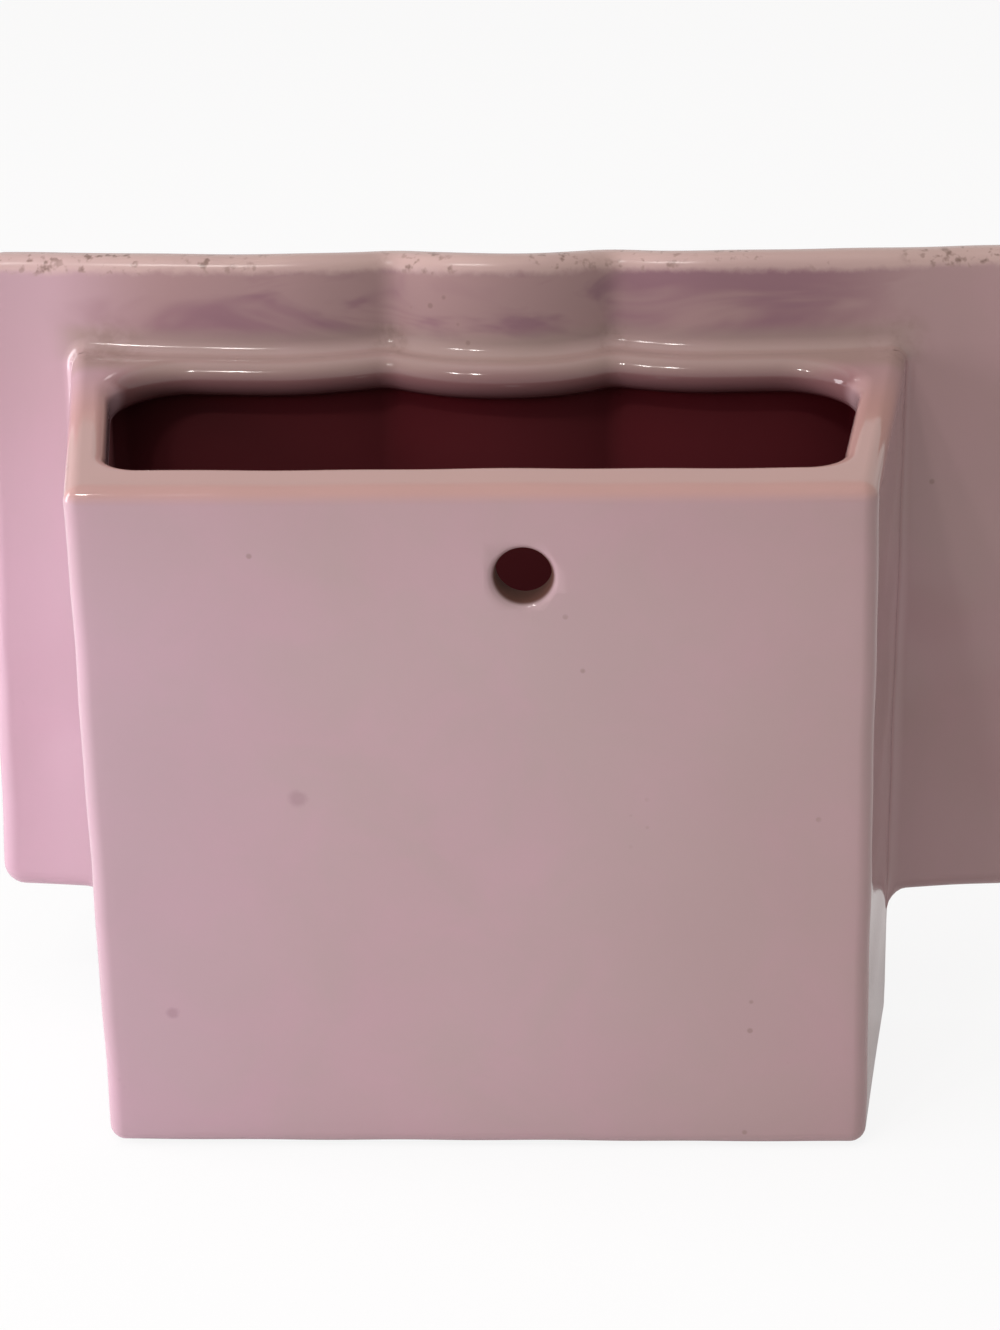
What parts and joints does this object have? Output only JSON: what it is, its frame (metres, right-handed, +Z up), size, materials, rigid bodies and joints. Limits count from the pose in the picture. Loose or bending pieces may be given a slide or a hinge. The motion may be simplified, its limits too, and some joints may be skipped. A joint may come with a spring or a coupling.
{
  "type": "hanging wall vase",
  "caption": "Glazed ceramic wall pocket: a flared box with a slotted, rolled mouth and a hanging hole in its back, joined behind a wide fluted panel that leans out at the top.",
  "frame": {"origin": "centre of the hanging hole, on the back face that lies against the wall", "axes": "+X across the vase, +Y into the wall, +Z up; the panel faces the room along -Y"},
  "size_m": [0.165, 0.0703, 0.1238],
  "materials": {
    "pink_glaze": "high gloss"
  },
  "bodies": {
    "root": {"front_panel": "pink_glaze", "back_wall": "pink_glaze", "left_wall": "pink_glaze", "right_wall": "pink_glaze", "pocket_floor": "pink_glaze", "mouth_ledge": "pink_glaze", "ledge_joint_coil": "pink_glaze", "left_joint_coil": "pink_glaze", "right_joint_coil": "pink_glaze"}
  },
  "joints": []
}
